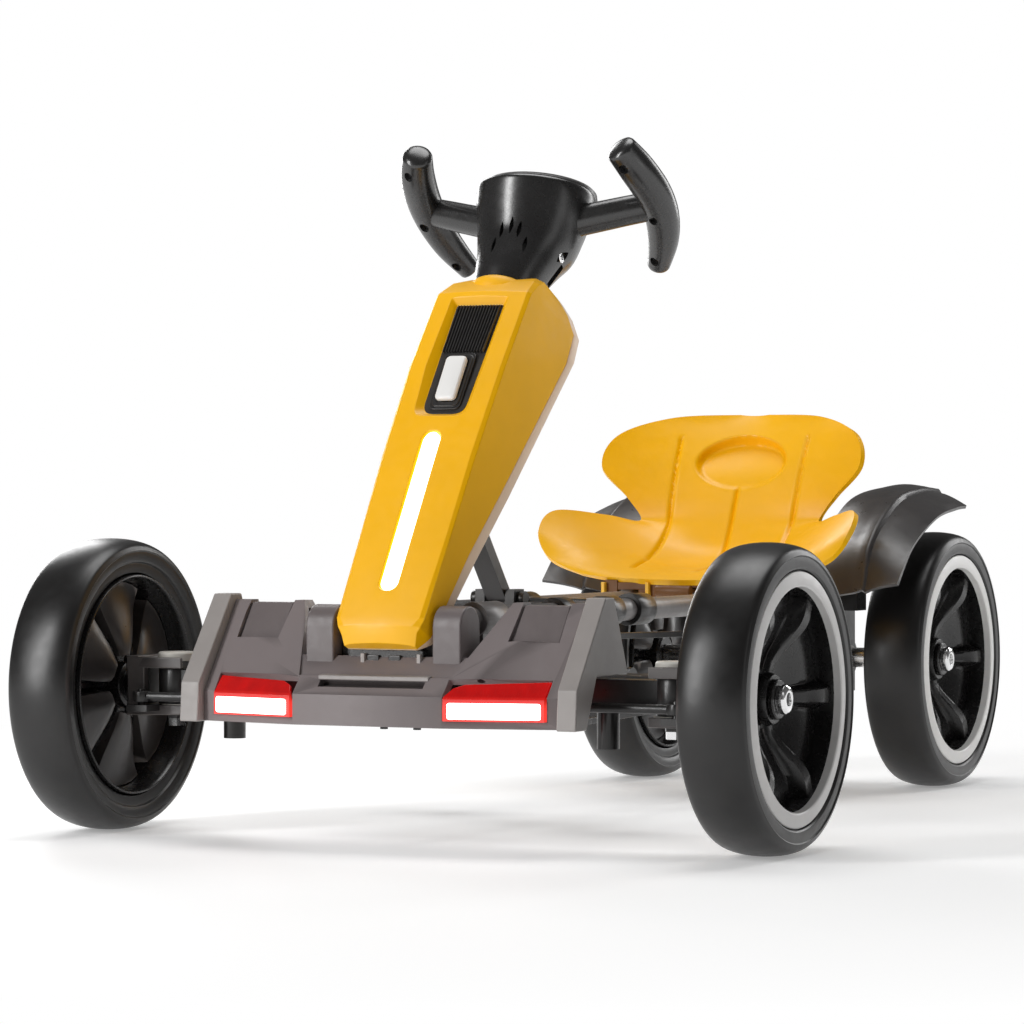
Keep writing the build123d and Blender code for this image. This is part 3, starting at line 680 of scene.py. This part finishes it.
def column():
    shell = bmesh.new()
    loft(shell, [front_ring(row) for row in COLUMN_RINGS])
    panel = bmesh.new()
    recess(panel, rounded(PANEL, PANEL_CORNERS), 5.5, 6)
    slot = bmesh.new()
    recess(slot, stadium(LIGHT_HALF, *LIGHT_S), 1.2, 3)
    piece("column_front_cover_skin", combined(shell, panel, slot), "yellow", "chassis",
          ["column_front_cover"], bevel=1.1, angle=17)

    bm = bmesh.new()
    loft(bm, [rear_ring(row) for row in COLUMN_RINGS])
    piece("column_rear_cover_skin", bm, "pale", "chassis", ["column_rear_cover"], bevel=0.8, angle=24)

    bm = bmesh.new()
    inner = rounded([(x * 0.99, s - math.copysign(0.3, s - 235)) for x, s in PANEL], PANEL_CORNERS)
    loft(bm, [on_face(inner, d) for d in (10, 5.6)])
    for k in range(PANEL_RIBS):
        u = -0.9 + 1.8 * k / (PANEL_RIBS - 1)
        rib = []
        for s, half in ((241, 19.4), (288.5, 20.4)):
            for dx, d in ((-0.8, 5.8), (-0.3, 3.6), (0.3, 3.6), (0.8, 5.8)):
                rib.append(column_place(half * u * 0.98 + dx, s, face_depth(s) + d))
        loft(bm, [rib[:4], rib[4:]])
    piece("vent_panel_ribbed", bm, "rubber", "chassis", ["vent_panel"], bevel=0.25, corner=2)

    def button_outline(half, grow, radius):
        return rounded(rectangle((-half, half), (BUTTON_S[0] - grow, BUTTON_S[1] + grow)), radius)

    bm = bmesh.new()
    rings = []
    for half, grow, depths in ((13.2, 7, (5.8, 4.4)), (11.6, 4.5, (4.39, 3.4))):
        rings += [on_face(button_outline(half, grow, 5.5), d) for d in depths]
    loft(bm, rings)
    hole = bmesh.new()
    loft(hole, [on_face(button_outline(BUTTON_HALF + 0.4, 0.4, 4.2), d) for d in (9, -2)])
    piece("power_button_bezel", combined(bm, hole), "rubber", "chassis", ["vent_panel"], bevel=0.5)

    bm = bmesh.new()
    rings = []
    for grow, d, bend in ((0, 3.2, 0), (0, -0.2, 0.0022), (-0.9, -1.3, 0.0022), (-2.6, -1.7, 0.0022)):
        base = face_depth(BUTTON_LOWEST) + d
        rings.append([column_place(x, s, base + bend * (s - BUTTON_LOWEST) ** 2)
                      for x, s in button_outline(BUTTON_HALF + grow, grow, 4)])
    loft(bm, rings)
    piece("power_button_rocker", bm, "white", "power_button", ["power_button"], bevel=0.3)

    bm = bmesh.new()
    slot_outline = stadium(LIGHT_HALF, *LIGHT_S)
    loft(bm, [on_face([(x * (1 + grow / LIGHT_HALF), s) for x, s in slot_outline], d)
              for grow, d in ((-0.15, 8), (-0.15, 2.0), (-1.2, 1.2))])
    piece("column_light_lens", bm, "lit", "chassis", ["column_light"])

    bm = bmesh.new()
    neck = [(-16, 27), (-9, 29.5), (-4, 29.6), (-1, 28.6), (0.8, 26.6), (1, 24.6), (-1, 23.8), (-16, 23.8)]
    lathe(bm, neck, (0, -231, 421.5), axis=slanted(54.5), steps=72)
    piece("column_neck_ring", bm, "yellow", "chassis", bevel=0.5, angle=35)

    bm = bmesh.new()
    block(bm, (-30, 32), (-436, -408), (131, 149))
    block(bm, (-40, 40), (-428, -400), (131, 156))
    for x in (-9, 9):
        block(bm, (x - 5, x + 5), (-438.5, -436.2), (131.5, 145))
    piece("column_base_block", bm, "black", "chassis", ["column_base"], bevel=0.8)

    bm = bmesh.new()
    for x in (-17, 30):
        block(bm, (x - 1.6, x + 1.6), (-440, -436), (131, 146))
    piece("column_base_cheeks", bm, "light grey highlight", "chassis", ["column_base"], bevel=0.4)


# --- seat: k runs from the front lip to the top of the back, u across it ---
SEAT_MIDDLE = [(118, 190), (134, 195), (160, 198), (188, 201), (214, 213), (230, 236), (243, 262),
               (257, 291), (270, 311), (281, 326), (289, 335)]
SEAT_EDGE = [(98, 124, 194), (134, 132, 210), (147, 142, 233), (142, 166, 250), (110, 205, 246),
             (86, 227, 241), (100, 228, 262), (124, 227, 290), (114, 242, 318), (72, 270, 333.5),
             (14, 288, 336)]
SEAT_GRID = (150, 180)
HOLLOW_Z = 293             # middle of the round hollow in the back
HOLLOW_HALF = (42.0, 23.0)  # its half width and half height
# x of each groove, and where along the shell it starts and ends
GROOVES = ((0, 0.16, 0.7), (-59, 0.13, 0.83), (59, 0.13, 0.83))
SEAT_WALL = 5.0


def seat_surface():
    """Rows of the rider's side of the shell, before the grooves are pressed in."""
    columns, rows = SEAT_GRID
    per = rows // (len(SEAT_MIDDLE) - 1)
    middle, edge = curve(SEAT_MIDDLE, per), curve(SEAT_EDGE, per)
    grid = []
    for (y0, z0), (x1, y1, z1) in zip(middle, edge):
        row = []
        for j in range(columns + 1):
            u = -1 + 2 * j / columns
            row.append(Vector((x1 * u, y0 + (y1 - y0) * u * u, z0 + (z1 - z0) * u * u)))
        grid.append(row)
    return grid


def seat_press(p, along):
    """How deep the grooves and the round hollow are at a point; along is 0 at the lip and 1 at the top."""
    deep = 0.0
    for x, start, end in GROOVES:
        if start < along < end:
            fade = smooth((along - start) / 0.03) * smooth((end - along) / 0.03)
            lean = 1 + 0.12 * (along - 0.5) if x else 1
            deep = max(deep, 2.6 * fade * math.exp(-((p.x - x * lean) / 1.7) ** 2))
    ox, oz = p.x / HOLLOW_HALF[0], (p.z - HOLLOW_Z) / HOLLOW_HALF[1]
    hollow = smooth((1 - math.hypot(ox, oz)) / 0.16 + 0.4)
    depth = 3.0 + 8.0 * smooth(0.5 + oz * 0.55)
    return max(deep, hollow * depth * 0.9)


def seat():
    grid = seat_surface()
    last = len(grid) - 1
    bm = bmesh.new()
    shown = loft(bm, grid, around=False, caps=False)
    bm.normal_update()
    for i, row in enumerate(shown):
        for v in row:
            v.co -= v.normal * seat_press(v.co, i / last) * (1 if v.normal.z > -0.2 else -1)
    piece("seat_shell_skin", bm, "yellow", "seat", ["seat_shell"], thick=-SEAT_WALL, bevel=1.9,
          angle=50, corner=4)

    bm = bmesh.new()
    outline = [(132, 181), (136, 192.5), (150, 194), (186, 197), (206, 204), (212, 196), (198, 184)]
    for x in (-54, -34, -14, 14, 34, 54):
        prism(bm, rounded(outline, 3), x - 2.2, x + 2.2, along_x)
    block(bm, (-62, 62), (190, 206), (183, 190))
    for x in (-73, -31, 31, 73):
        block(bm, (x - 1.6, x + 1.6), (116.5, 122), (174.5, 187.5))
    piece("seat_base_ribs", bm, "yellow", "seat", ["seat_base"], bevel=0.8)

    # the wall under the seat's front lip, in the darkened yellow: painted shade of that recess
    bm = bmesh.new()
    for side in (1, -1):
        block(bm, span(side, 60.8, 73), (121, 125), (174, 189.5))
        block(bm, span(side, 17, 60.7), (121, 125), (181, 187.5))
        block(bm, span(side, 17.1, 41), (121, 124.9), (174, 181.2))
    block(bm, (-17.1, 17.1), (121, 125), (183.5, 187.4))
    piece("seat_base_front", bm, "yellow painted shade", "seat", ["seat_base"], bevel=0.5)


# --- steering module: a bell on the slanted shaft, with two grips on spokes ---
# middle (y, z), radius and slant of each ring, from the neck up
BELL_RINGS = [(-229.5, 423.5, 25.5, 56), (-223.5, 430.5, 27.8, 57), (-214, 440, 31, 58.5),
              (-203, 449.5, 34.8, 60.5), (-192, 459, 39.5, 64), (-184, 473, 43, 68), (-178, 487, 46, 72),
              (-173.5, 501, 47.8, 75.5), (-172.5, 506, 47.6, 76), (-172, 508, 46.4, 76)]
BELL_STEPS = 6
SLOT_SIZE = (3.4, 16)
# where up and round the bell each slot is, and its lean
SLOTS = [(0.29, -0.23, 0.05), (0.42, -0.1, 0), (0.46, 0.1, 0), (0.43, 0.28, -0.05), (0.31, 0.54, -0.2)]
CLAMP_HOLE = (0.37, 1.54)
CLAMP_SLIT = [(0.5, -11), (11, -9), (3, 13), (-3.5, 12)]
GRIP_PATH = [(90, -206, 536), (97, -192, 522), (102, -172, 505), (102, -154, 488), (96, -137, 469),
             (85, -121, 450)]
GRIP_RADII = [12.8, 14.6, 14.8, 14.2, 12.8, 9.6]
SPOKE_PATH = [(36, -179, 482), (58, -173, 486.5), (80, -167, 491), (98, -161, 494.5)]


def bell_point(t, turn, out=0.0):
    """A point of the bell: t 0 at the neck and 1 at the top, turn 0 at the front, and how far out of it."""
    rings = curve(BELL_RINGS, BELL_STEPS)
    at = t * (len(rings) - 1)
    k = min(int(at), len(rings) - 2)
    y, z, r, slant = (a + (b - a) * (at - k) for a, b in zip(rings[k], rings[k + 1]))
    slant = math.radians(slant)
    forward = (r + out) * math.cos(turn)
    return Vector(((r + out) * math.sin(turn), y - forward * math.sin(slant), z + forward * math.cos(slant)))


def bell_cutter(t, turn, outline, depth=5.0):
    """A prism that goes into the bell, its outline in millimetres across and up the surface."""
    here = bell_point(t, turn)
    up = (bell_point(t + 0.02, turn) - bell_point(t - 0.02, turn)).normalized()
    across = (bell_point(t, turn + 0.02) - bell_point(t, turn - 0.02)).normalized()
    out = across.cross(up).normalized()
    if out.dot(bell_point(t, turn, 1) - here) < 0:
        out = -out
    bm = bmesh.new()
    loft(bm, [[here + across * a + up * b + out * h for a, b in outline] for h in (6, -depth)])
    return bm


def lens(width, length, lean, steps=8):
    """A pointed oval, length tall."""
    half = [(width / 2 * math.sin(math.pi * t), length * (t - 0.5)) for t in
            (k / steps for k in range(steps + 1))]
    outline = half + [(-a, b) for a, b in half[-2:0:-1]]
    c, s = math.cos(lean), math.sin(lean)
    return [(a * c + b * s, b * c - a * s) for a, b in outline]


def steering():
    bm = bmesh.new()
    around = [2 * math.pi * k / 96 for k in range(96)]
    top = (len(BELL_RINGS) - 1) * BELL_STEPS
    loft(bm, [[bell_point(i / top, a) for a in around] for i in range(top + 1)])
    cutters = [bell_cutter(t, turn, lens(*SLOT_SIZE, lean)) for t, turn, lean in SLOTS]
    for side in (1, -1):
        cutters.append(bell_cutter(CLAMP_HOLE[0], side * CLAMP_HOLE[1], lens(9, 15, 0.1 * side), 7))
        cutters.append(bell_cutter(0.25, side * 1.82, [(side * a, b) for a, b in CLAMP_SLIT], 5))
    piece("steering_bell", combined(bm, *cutters), "satin", "steering", ["steering_module"], bevel=0.5,
          angle=35)

    bm = bmesh.new()
    for side in (1, -1):
        out = [bell_point(CLAMP_HOLE[0], side * CLAMP_HOLE[1], d) for d in (-3.6, 0.4)]
        way = (out[1] - out[0]).normalized()
        lathe(bm, [(0, 0.01), (0, 4.6), (3, 4.6), (3, 2.4), (1, 2.2), (1, 0.01)], out[0], axis=way, steps=32)
    piece("steering_clamp_screws", bm, "chrome", "steering", ["steering_module"], bevel=0.2)

    bm = bmesh.new()
    rim = [(-9, 41), (-9, 43), (-5, 45.8), (0, 46.8), (3.5, 46), (5.6, 43.5), (6.4, 39), (5.6, 33),
           (5.2, 0.01), (2.5, 0.01), (2.5, 40)]
    lathe(bm, rim, (0, -166, 505.5), axis=slanted(75.5), steps=96)
    piece("module_cap_ring", bm, "light satin", "steering", ["module_cap"], bevel=0.4, angle=35)

    bm = bmesh.new()
    lathe(bm, [(0, 0.01), (0, 26), (1.2, 27.5), (2.2, 26), (2.4, 0.01)], (0, -165, 510.5),
          axis=slanted(75.5), steps=64)
    piece("module_cap_badge", bm, "rubber", "steering", ["module_cap"], bevel=0.4)

    for name, side in SIDES:
        bm = bmesh.new()
        path = [(side * x, y, z) for x, y, z in curve(GRIP_PATH)]
        radii = [r for (r,) in curve([(r,) for r in GRIP_RADII])]
        tube(bm, path, radii, sides=40, flat=0.95)
        tools = []
        for k in (6, 24, 37):
            r = radii[k]
            tool = bmesh.new()
            lathe(tool, [(r - 4, 0.01), (r - 5, 4.1), (r + 6, 4.1), (r + 6, 0.01)], path[k],
                  axis=(-0.12, -0.9, -0.42), steps=24)
            tools.append(tool)
        piece(f"grip_{name}", combined(bm, *tools), "satin", "steering", ["grips"], bevel=0.4, angle=45)

        bm = bmesh.new()
        spoke = curve([(side * x, y, z) for x, y, z in SPOKE_PATH], 6)
        tube(bm, spoke, [12.6 - 0.05 * k for k in range(len(spoke))], sides=32, flat=0.9)
        piece(f"grip_spoke_{name}", bm, "satin", "steering", ["grip_spokes"])

        bm = bmesh.new()
        low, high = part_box(f"grip_button_{name}")
        middle = (low + high) / 2 / MM
        way = Vector((0, 0.72, 0.69))
        dome = [(-4, 0.01), (-4, 5), (2.4, 5), (3.4, 4.2), (3.9, 2.6), (4.0, 0.01)]
        lathe(bm, dome, middle + way * 1.2, axis=way, steps=32)
        button = f"grip_button_{name}"
        piece(f"{button}_dome", bm, "orange", button, [button], bevel=0.3)


# --- bumper: outlines are (y, z) unless they say otherwise ---
TRAY = [(-466, 93), (-466, 116), (-400, 184), (-386, 184), (-366, 131), (-372, 131), (-392, 178),
        (-398, 178), (-458, 115), (-460, 93)]
TRAY_STATIONS = (-149.6, -62, 62, 149.6)
RIB = [(-455.5, 92.5), (-453, 122), (-402.5, 188.5), (-387, 188.5), (-362, 131), (-418, 131), (-436, 92.5)]
LENS = [(-468.5, 98.5), (-468.5, 115), (-455, 127.5), (-450, 124), (-463, 111), (-463, 98.5)]
SWEEP = 0.23               # how far back the tray's ends go for each millimetre outwards


def swept(bm):
    """Sweeps the outer stretches of the bumper's front back, less the further back a point is."""
    for v in bm.verts:
        out = max(abs(v.co.x) - 62, 0)
        v.co.y += out * SWEEP * min(max((-386 - v.co.y) / 70, 0), 1)
    return bm


def slab(outline, stations):
    """An outline (y, z) lofted through stations along x."""
    bm = bmesh.new()
    loft(bm, [[Vector((x, y, z)) for y, z in outline] for x in stations])
    return bm


def bumper():
    shell = slab(TRAY, TRAY_STATIONS)
    floor_plate = slab([(-462, 120), (-448, 131), (-404, 131), (-404, 126), (-446, 126), (-458, 114)],
                       TRAY_STATIONS)
    web = slab([(-452, 126), (-437, 143.5), (-404, 143.5), (-404, 126)], (-66, 66))
    notch = bmesh.new()
    outline = [(-500, 129.5), (-450, 129.5), (-437, 144), (-340, 144), (-340, 200), (-500, 200)]
    loft(notch, [[Vector((side * (64 + (z - 129.5) * 0.45), y, z)) for y, z in outline] for side in (-1, 1)])
    groove = slab([(-480, 126.5), (-450, 126.5), (-450, 122), (-480, 120.5)], (-44, 44))
    hole = bmesh.new()
    lathe(hole, [(-30, 0.01), (-30, 3), (8, 3), (8, 0.01)], (86, -448, 132), axis=(0, 0.7, 0.7), steps=16)
    tools = [swept(notch), swept(groove), swept(hole)]
    lamp_pocket = [(-490, 98.4), (-490, 122), (-458, 131), (-447, 124), (-456, 113), (-456, 98.4)]
    pad_pocket = [(-426.2, 153.4), (-432, 157), (-440, 200), (-380, 200), (-380, 181.2), (-399.2, 181.2)]
    for side in (1, -1):
        tools.append(swept(slab(lamp_pocket, span(side, 62.5, 139.5))))
        tools.append(swept(slab(pad_pocket, span(side, 97, 136))))
    body = combined(combined(swept(shell), swept(floor_plate), swept(web), how="UNION"), *tools)
    piece("bumper_tray_shell", body, "grey", "chassis", ["bumper_tray"], bevel=0.9, angle=25, corner=2)

    # the end ribs are lighter than the tray: painted highlight of their lit faces
    bm = bmesh.new()
    for side in (1, -1):
        prism(bm, RIB, side * 150.2, side * 166, along_x)
    piece("bumper_end_ribs", bm, "light grey highlight", "chassis", ["bumper_ribs"], bevel=1.1, angle=20)

    # the ledge's light grey is a painted highlight along the lip's lit edge
    bm = slab([(-455.5, 126.8), (-455.5, 129.8), (-449.5, 130.6), (-449.5, 126.8)], (-46, 46))
    piece("bumper_ledge_strip", bm, "light grey highlight", "chassis", ["bumper_tray"], bevel=0.5)

    bm = bmesh.new()
    plate = [(-426.4, 155), (-400.4, 182.2), (-388, 182.2), (-388, 178), (-398, 178), (-424, 151)]
    for side in (1, -1):
        prism(bm, plate, *span(side, 98.4, 134.6), along_x)
    piece("foot_pad_plates", swept(bm), "grey", "chassis", ["foot_pads"], bevel=0.6)

    ear = [(-440, 131.5), (-440, 165.5)]
    ear += [(-423.5 - 16.5 * math.cos(a), 165.5 + 16.5 * math.sin(a)) for a in
            (math.pi * k / 16 for k in range(1, 17))]
    ear += [(-407, 131.5)]
    bm = bmesh.new()
    for side in (1, -1):
        prism(bm, ear, *span(side, 41.5, 65), along_x)
    piece("column_ears_rounded", bm, "grey", "chassis", ["column_ears"], bevel=1.4, angle=30)

    bm = bmesh.new()
    for side in (1, -1):
        rows = []
        for x, share in ((138.5, 1), (76, 0.82), (68.5, 0.6), (64, 0.12)):
            front, brow = LENS[1]
            rows.append([Vector((side * x, y if z <= brow else front + (y - front) * share,
                                 z if z <= brow else brow + (z - brow) * share)) for y, z in LENS])
        loft(bm, rows)
    piece("lamp_lens_shells", swept(bm), "red", "chassis", ["lamp_lenses"], bevel=0.6, angle=25)

    bm = bmesh.new()
    outline = rounded(rectangle((67.5, 136), (100, 112)), 2)
    for side in (1, -1):
        loft(bm, [[Vector((side * x, y, z)) for x, z in outline] for y in (-466, -469.6)])
    piece("lamp_bar_strips", swept(bm), "hot", "chassis", ["lamp_bars"], bevel=0.5)


def fenders():
    """A curved sheet over each rear wheel, with a stepped crease between its inner and outer edges."""
    inner = curve([(60, 246, 163), (64, 264, 205), (80, 312, 257), (92, 378, 271), (97, 412, 271)], 10)
    crease = curve([(131, 210, 179), (130, 233, 222), (130, 297, 259), (130, 362, 269), (130, 412, 268)], 10)
    outer = curve([(170, 198, 187), (170, 240, 220), (170, 300, 244), (170, 350, 252), (170, 378, 254)], 10)
    bm = bmesh.new()
    rows = []
    for a, b, c in zip(inner, crease, outer):
        a, b, c = Vector(a), Vector(b), Vector(c)
        out = Vector((0, -0.5, 0.86))
        row = [a.lerp(b, k / 8) + out * 3 * math.sin(math.pi * k / 8) for k in range(8)]
        row += [b.lerp(c, u) + out * lift for u, lift in ((0, 1.5), (0.05, 2), (0.09, 1), (0.13, -1.2))]
        row += [b.lerp(c, u) + out * 1.5 * (math.sin(math.pi * u) - 1 + u)
                for u in (k / 8 for k in range(2, 9))]
        rows.append(row)
    loft(bm, rows, around=False, caps=False)
    mirror(bm)
    piece("fender_shells", bm, "fender", "chassis", ["fenders"], thick=-3, bevel=0.6, angle=50)


# --- front wheel mounts: the kingpins' ends and a bracket on each knuckle ---
KINGPIN = (212, -380.5)
# x, y and z of the bracket's plates, for the left knuckle
BRACKET = (((198, 246), (-398.5, -395.5), (129.5, 138)), ((198, 246), (-398.5, -395.5), (93.5, 101)),
           ((231, 246), (-398.5, -350), (93.5, 138)), ((236, 246), (-398.5, -350), (134.6, 139)),
           ((200, 236), (-395.5, -391), (129.6, 134)))


def kingpin_ends(name, profile, z, material, bevel, steps):
    """One turned piece on the axis of both kingpins, from the height z upwards."""
    bm = bmesh.new()
    for side in (1, -1):
        lathe(bm, profile, (side * KINGPIN[0], KINGPIN[1], z), axis=(0, 0, 1), steps=steps)
    piece(name, bm, material, "chassis", bevel=bevel)


def knuckles():
    cap = [(0, 0.01), (0, 14.6), (5.8, 14.6), (7.2, 13.4), (7.2, 0.01)]
    kingpin_ends("kingpin_cap_discs", cap, 134.9, "nylon", 0.4, 48)
    nut = [(0, 0.01), (0, 7.4), (7.5, 7.4), (7.5, 0.01)]
    kingpin_ends("kingpin_foot_nuts", nut, 84.5, "chrome", 0.5, 6)

    for name, side in SIDES:
        bm = bmesh.new()
        for x, y, z in BRACKET:
            block(bm, span(side, *x), y, z)
        piece(f"knuckle_frame_{name}", bm, "knuckle", f"knuckle_{name}", bevel=0.9)

        # a pale strip on top of the bracket's lower plate: a painted highlight of its lit edge
        bm = bmesh.new()
        block(bm, span(side, 201, 229), (-395, -392.5), (100.2, 101.6))
        piece(f"knuckle_painted_highlight_strip_{name}", bm, "nylon", f"knuckle_{name}", bevel=0.3)


# --- floor, lamps and camera: places and sizes are in metres, but for the floor's rings ---
FLOOR_RINGS = (100, 700, 1500, 3000, 8000, 40000)
FLOOR_FADE = (0.62, 1.35)  # distances from the middle where the fade into white starts and ends
CAMERA_AT = (1.4329, -3.18941, 0.2691)
CAMERA_WAY = (-0.43429, 0.90076, -0.005585)
CAMERA_LENS = 146.04       # millimetres, and so is the sensor's width
SENSOR_WIDTH = 36.0


def aim(obj, place, way):
    obj.location = place
    obj.rotation_mode = "QUATERNION"
    obj.rotation_quaternion = Vector(way).to_track_quat("-Z", "Y")


def floor():
    """A pale round floor that fades into plain white away from the kart."""
    bm = bmesh.new()
    rings = [[(r * math.cos(a), r * math.sin(a), 0) for a in (2 * math.pi * k / 64 for k in range(64))]
             for r in FLOOR_RINGS]
    rows = loft(bm, rings, caps=False)
    bm.faces.new(rows[0])
    bmesh.ops.scale(bm, vec=(MM, MM, MM), verts=bm.verts)
    obj = as_object("floor", bm)
    material, tree, surface = blank("studio_floor")
    surface.inputs["Roughness"].default_value = 0.6
    place = node(tree, "ShaderNodeTexCoord").outputs["Object"]
    patches = ramp(tree, noise(tree, place, 3, 3), 0.3, 0.7, 0, 1)
    shade = blended(tree, patches, (0.84, 0.84, 0.84), (0.87, 0.87, 0.87))
    tree.links.new(shade, surface.inputs["Base Color"])
    surface.inputs["Emission Color"].default_value = (1, 1, 1, 1)
    surface.inputs["Emission Strength"].default_value = 0.27
    white = node(tree, "ShaderNodeEmission", Color=(1, 1, 1, 1), Strength=1.0)
    far = node(tree, "ShaderNodeVectorMath", operation="LENGTH")
    tree.links.new(place, far.inputs[0])
    mix = node(tree, "ShaderNodeMixShader")
    tree.links.new(ramp(tree, far.outputs["Value"], *FLOOR_FADE, 0, 1), mix.inputs[0])
    tree.links.new(surface.outputs[0], mix.inputs[1])
    tree.links.new(white.outputs[0], mix.inputs[2])
    tree.links.new(mix.outputs[0], tree.nodes["Material Output"].inputs["Surface"])
    obj.data.materials.append(material)


def lamp(name, place, target, width, height, power, colour=(1, 1, 1)):
    data = bpy.data.lights.new(name, "AREA")
    data.shape, data.size, data.size_y = "RECTANGLE", width, height
    data.energy, data.color = power, colour
    aim(add(name, data), place, Vector(target) - Vector(place))


def studio():
    world = bpy.data.worlds.new("studio")
    bpy.context.scene.world = world
    world.use_nodes = True
    tree = world.node_tree
    tree.nodes.clear()
    out = tree.nodes.new("ShaderNodeOutputWorld")
    shown = node(tree, "ShaderNodeBackground", Color=(1, 1, 1, 1), Strength=1.0)
    soft = node(tree, "ShaderNodeBackground", Color=(1, 0.99, 0.98, 1), Strength=0.1)
    seen = node(tree, "ShaderNodeLightPath").outputs["Is Camera Ray"]
    mix = node(tree, "ShaderNodeMixShader")
    tree.links.new(seen, mix.inputs[0])
    tree.links.new(soft.outputs[0], mix.inputs[1])
    tree.links.new(shown.outputs[0], mix.inputs[2])
    tree.links.new(mix.outputs[0], out.inputs["Surface"])
    lamp("overhead", (0.0, 0.3, 2.3), (0, 0, 0.2), 1.6, 1.2, 26)
    lamp("front_left", (-1.5, -2.7, 1.2), (0, -0.2, 0.25), 0.5, 2.2, 62)
    lamp("front_right", (2.9, -0.5, 0.9), (0, -0.1, 0.25), 0.7, 1.8, 3)
    lamp("back_left", (-2.0, 1.6, 1.2), (0, 0, 0.25), 0.7, 1.8, 28)
    lamp("back_right", (1.1, 2.8, 1.2), (0, 0, 0.25), 0.8, 1.8, 22)
    bpy.context.scene.view_settings.view_transform = "Standard"


def camera():
    data = bpy.data.cameras.new("camera")
    data.lens, data.sensor_width = CAMERA_LENS, SENSOR_WIDTH
    data.clip_start, data.clip_end = 0.1, 100
    obj = add("camera", data)
    aim(obj, CAMERA_AT, CAMERA_WAY)
    bpy.context.scene.camera = obj


camera()
dress_nodes()
wheels()
column()
seat()
steering()
bumper()
fenders()
knuckles()
floor()
studio()
